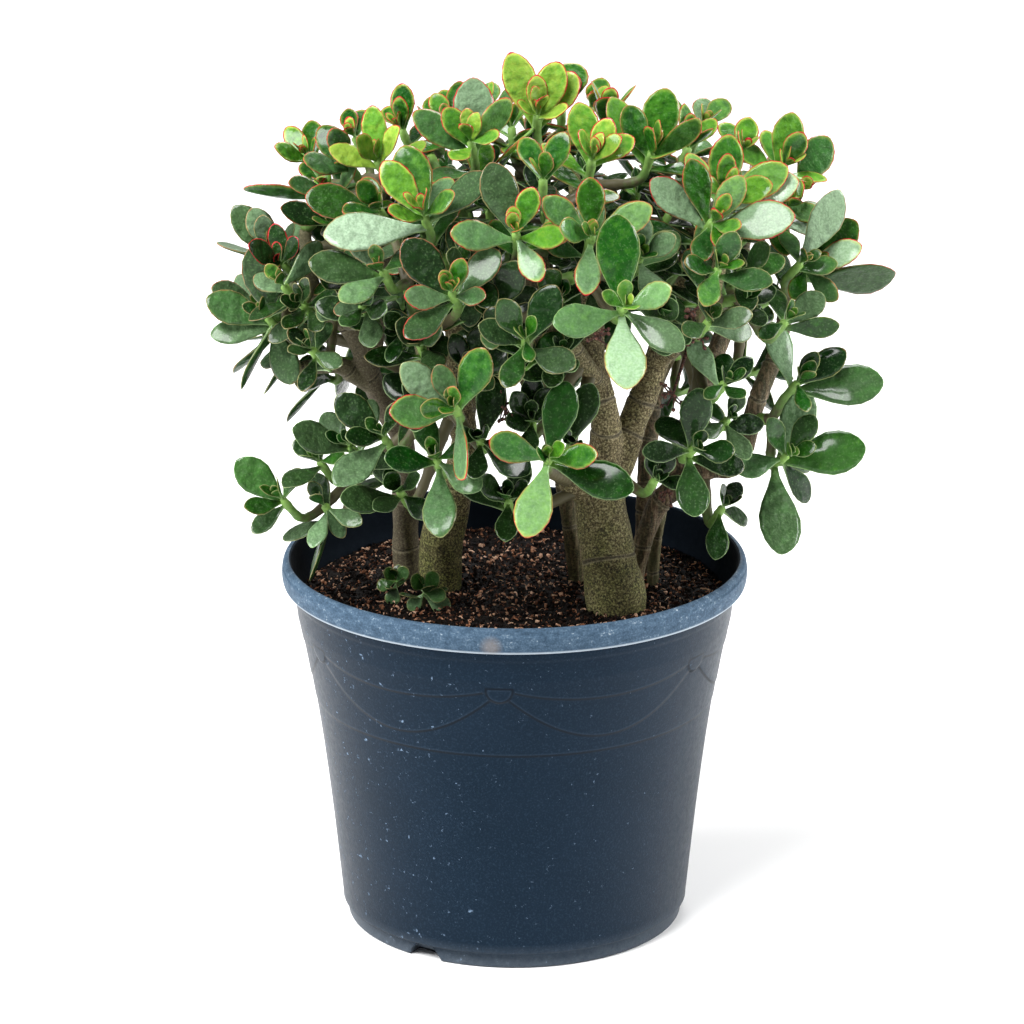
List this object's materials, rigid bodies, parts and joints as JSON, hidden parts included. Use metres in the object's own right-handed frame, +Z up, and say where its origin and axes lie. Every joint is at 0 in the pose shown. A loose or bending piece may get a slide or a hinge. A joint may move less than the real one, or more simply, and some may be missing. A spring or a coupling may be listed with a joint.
{
  "type": "potted jade plant",
  "caption": "Old jade plant with thick woody trunks and a dome of fleshy oval leaves, rooted in dark compost in a tapered round nursery pot with a rolled rim",
  "frame": {"origin": "the middle of the pot's flat underside, on the surface that it stands on", "axes": "+Z up along the pot's axis; the reference view looks along +Y, with +X to its right"},
  "size_m": [0.4936, 0.3825, 0.6419],
  "materials": {
    "pot_plastic": "satin",
    "compost": "matte",
    "bark": "matte",
    "jade_leaf": "satin"
  },
  "bodies": {
    "root": {"pot": "pot_plastic", "soil": "compost", "trunk_right_front": "bark", "trunk_right_back": "bark", "trunk_right_inner": "bark", "trunk_middle": "bark", "trunk_left_front": "bark", "trunk_left_back": "bark", "seedling_front": "jade_leaf", "seedling_back": "jade_leaf", "leafy_spray_01": "jade_leaf", "leafy_spray_02": "jade_leaf", "leafy_spray_03": "jade_leaf", "leafy_spray_04": "jade_leaf", "leafy_spray_05": "jade_leaf", "leafy_spray_06": "jade_leaf", "leafy_spray_07": "jade_leaf", "leafy_spray_08": "jade_leaf", "leafy_spray_09": "jade_leaf", "leafy_spray_10": "jade_leaf", "leafy_spray_11": "jade_leaf", "leafy_spray_12": "jade_leaf", "leafy_spray_13": "jade_leaf", "leafy_spray_14": "jade_leaf", "leafy_spray_15": "jade_leaf", "leafy_spray_16": "jade_leaf", "leafy_spray_17": "jade_leaf", "leafy_spray_18": "jade_leaf", "leafy_spray_19": "jade_leaf", "leafy_spray_20": "jade_leaf", "leafy_spray_21": "jade_leaf", "leafy_spray_22": "jade_leaf", "leafy_spray_23": "jade_leaf", "leafy_spray_24": "jade_leaf", "leafy_spray_25": "jade_leaf", "leafy_spray_26": "jade_leaf", "leafy_spray_27": "jade_leaf", "leafy_spray_28": "jade_leaf", "leafy_spray_29": "jade_leaf", "leafy_spray_30": "jade_leaf", "leafy_spray_31": "jade_leaf", "leafy_spray_32": "jade_leaf", "leafy_spray_33": "jade_leaf", "leafy_spray_34": "jade_leaf", "leafy_spray_35": "jade_leaf", "leafy_spray_36": "jade_leaf", "leafy_spray_37": "jade_leaf", "leafy_spray_38": "jade_leaf", "leafy_spray_39": "jade_leaf", "leafy_spray_40": "jade_leaf", "leafy_spray_41": "jade_leaf", "leafy_spray_42": "jade_leaf", "leafy_spray_43": "jade_leaf", "leafy_spray_44": "jade_leaf", "leafy_spray_45": "jade_leaf", "leafy_spray_46": "jade_leaf", "leafy_spray_47": "jade_leaf", "leafy_spray_48": "jade_leaf"}
  },
  "joints": []
}
